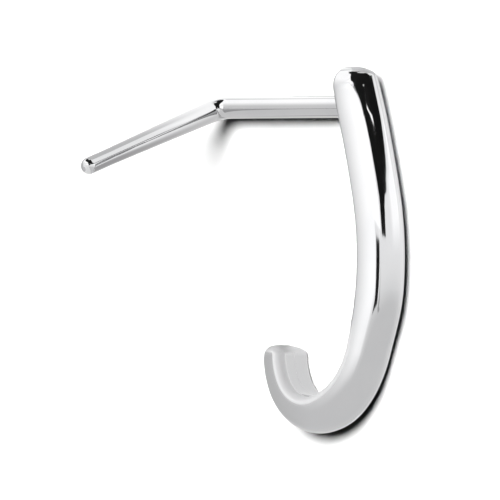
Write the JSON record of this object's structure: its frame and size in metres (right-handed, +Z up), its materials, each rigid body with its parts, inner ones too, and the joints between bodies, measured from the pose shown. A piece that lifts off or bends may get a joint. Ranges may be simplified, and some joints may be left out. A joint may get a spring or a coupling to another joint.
{
  "type": "l-shaped nose stud",
  "caption": "L-shaped nose stud: a polished J-shaped hook that wraps the outside of the nostril, on a straight post of round wire with a square corner and a holding leg.",
  "frame": {"origin": "on the surface that the stud lies on, under the middle of its box", "axes": "+Z up, away from the surface and along the rise of the leg; +Y along the hook's limb, from its curl to its top end; +X towards the hook's outer side"},
  "size_m": [0.0094, 0.0132, 0.0077],
  "materials": {
    "polished_metal": "mirror-polished jewellery steel, with fine polishing marks"
  },
  "bodies": {
    "root": {"nose_stud": "polished_metal"}
  },
  "joints": []
}
